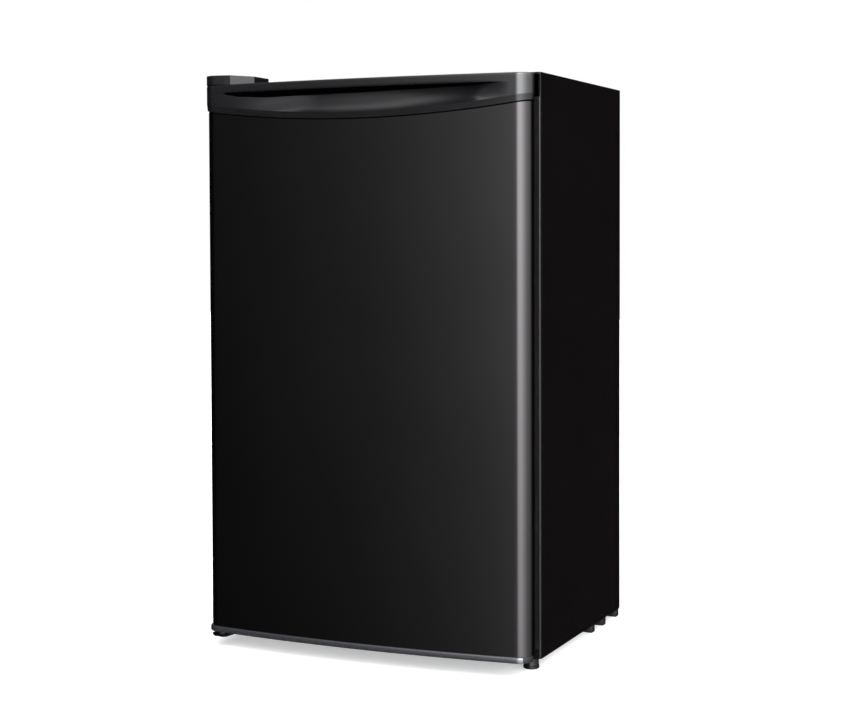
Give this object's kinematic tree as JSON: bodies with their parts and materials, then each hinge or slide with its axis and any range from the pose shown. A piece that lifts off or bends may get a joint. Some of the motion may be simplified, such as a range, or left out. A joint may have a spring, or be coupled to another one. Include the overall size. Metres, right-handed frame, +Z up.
{
  "type": "mini fridge",
  "caption": "Compact free-standing refrigerator with one left-hung bowed door, a scooped top handle, a chiller box and a rear compressor bay.",
  "frame": {"origin": "centre of the base of the overall box, on the floor", "axes": "+Z up, the door faces -Y, +X is the right-hand side seen from the front"},
  "size_m": [0.5174, 0.4594, 0.85],
  "materials": {
    "side_shell": "black pebble-grained lacquer with a soft gloss",
    "door_metal": "black brushed steel with a vertical grain",
    "cap_plastic": "satin black moulded plastic",
    "black_plastic": "black moulded plastic",
    "bright_trim": "dark chrome moulding",
    "rubber": "soft black rubber",
    "white_plastic": "glossy white polystyrene",
    "clear_plastic": "clear moulded plastic",
    "shelf_glass": "tempered glass",
    "foam": "yellow polyurethane foam",
    "zinc_steel": "zinc-plated steel sheet",
    "aluminium": "roll-bond aluminium",
    "copper": "copper pipe",
    "black_steel": "black-enamelled steel"
  },
  "bodies": {
    "cabinet": {"side_panel_left": "side_shell", "side_panel_right": "side_shell", "top_panel": "side_shell", "back_panel": "zinc_steel", "base_deck": "zinc_steel", "front_base_rail": "side_shell", "inner_liner": "white_plastic", "insulation_foam": "foam", "rear_foot_left": "black_plastic", "rear_foot_right": "black_plastic", "top_hinge_bracket": "zinc_steel", "top_hinge_pin": "zinc_steel", "top_hinge_screw_front": "zinc_steel", "top_hinge_screw_rear": "zinc_steel", "top_hinge_cover": "cap_plastic", "bottom_hinge_bracket": "side_shell", "bottom_hinge_pin": "black_steel", "bottom_hinge_screw_front": "zinc_steel", "bottom_hinge_screw_rear": "zinc_steel", "evaporator_box": "aluminium", "evaporator_frame": "white_plastic", "thermostat_housing": "white_plastic", "thermostat_switch": "black_plastic", "compressor_base_plate": "zinc_steel", "compressor": "black_steel", "compressor_grommet_1": "rubber", "compressor_grommet_2": "rubber", "compressor_grommet_3": "rubber", "compressor_grommet_4": "rubber", "relay_cover": "black_plastic", "discharge_pipe": "copper", "suction_pipe": "copper", "filter_drier": "copper", "condenser_tube": "black_steel", "condenser_wires": "black_steel", "condenser_bracket_left": "black_steel", "condenser_bracket_right": "black_steel", "cord_gland": "black_plastic"},
    "door": {"door_skin": "door_metal", "door_top_cap": "cap_plastic", "door_handle_bar": "cap_plastic", "door_bottom_cap": "black_plastic", "door_trim_strip": "bright_trim", "door_liner": "white_plastic", "door_foam": "foam", "door_gasket": "rubber", "door_rack_lower": "clear_plastic", "door_rack_middle": "clear_plastic", "door_rack_upper": "clear_plastic", "door_bushing_top": "black_plastic", "door_bushing_bottom": "black_plastic"},
    "foot_left": {"front_foot_left": "black_plastic"},
    "foot_right": {"front_foot_right": "black_plastic"},
    "flap": {"freezer_flap": "clear_plastic"},
    "tray": {"drip_tray": "clear_plastic"},
    "knob": {"thermostat_knob": "white_plastic"},
    "lower_shelf": {"shelf_lower": "shelf_glass", "shelf_lower_trim": "white_plastic"},
    "upper_shelf": {"shelf_upper": "shelf_glass", "shelf_upper_trim": "white_plastic"}
  },
  "joints": [
    {"name": "door_hinge", "type": "hinge", "parent": "cabinet", "child": "door", "pos_m": [-0.236, -0.2028, 0.43], "axis": [0, 0, -1], "range_deg": [0, 120]},
    {"name": "flap_hinge", "type": "hinge", "parent": "cabinet", "child": "flap", "pos_m": [0, -0.0608, 0.775], "axis": [-1, 0, 0], "range_deg": [0, 90]},
    {"name": "tray_slide", "type": "slide", "parent": "cabinet", "child": "tray", "axis": [0, -1, 0], "range_m": [0, 0.08]},
    {"name": "lower_shelf_slide", "type": "slide", "parent": "cabinet", "child": "lower_shelf", "axis": [0, -1, 0], "range_m": [0, 0.055]},
    {"name": "upper_shelf_slide", "type": "slide", "parent": "cabinet", "child": "upper_shelf", "axis": [0, -1, 0], "range_m": [0, 0.055]},
    {"name": "knob_turn", "type": "hinge", "parent": "cabinet", "child": "knob", "pos_m": [0.165, 0.0077, 0.62], "axis": [-1, 0, 0], "range_deg": [0, 270]},
    {"name": "foot_left_screw", "type": "hinge", "parent": "cabinet", "child": "foot_left", "pos_m": [-0.232, -0.1223, 0.01], "axis": [0, 0, 1], "continuous": true},
    {"name": "foot_right_screw", "type": "hinge", "parent": "cabinet", "child": "foot_right", "pos_m": [0.232, -0.1383, 0.01], "axis": [0, 0, 1], "continuous": true}
  ]
}
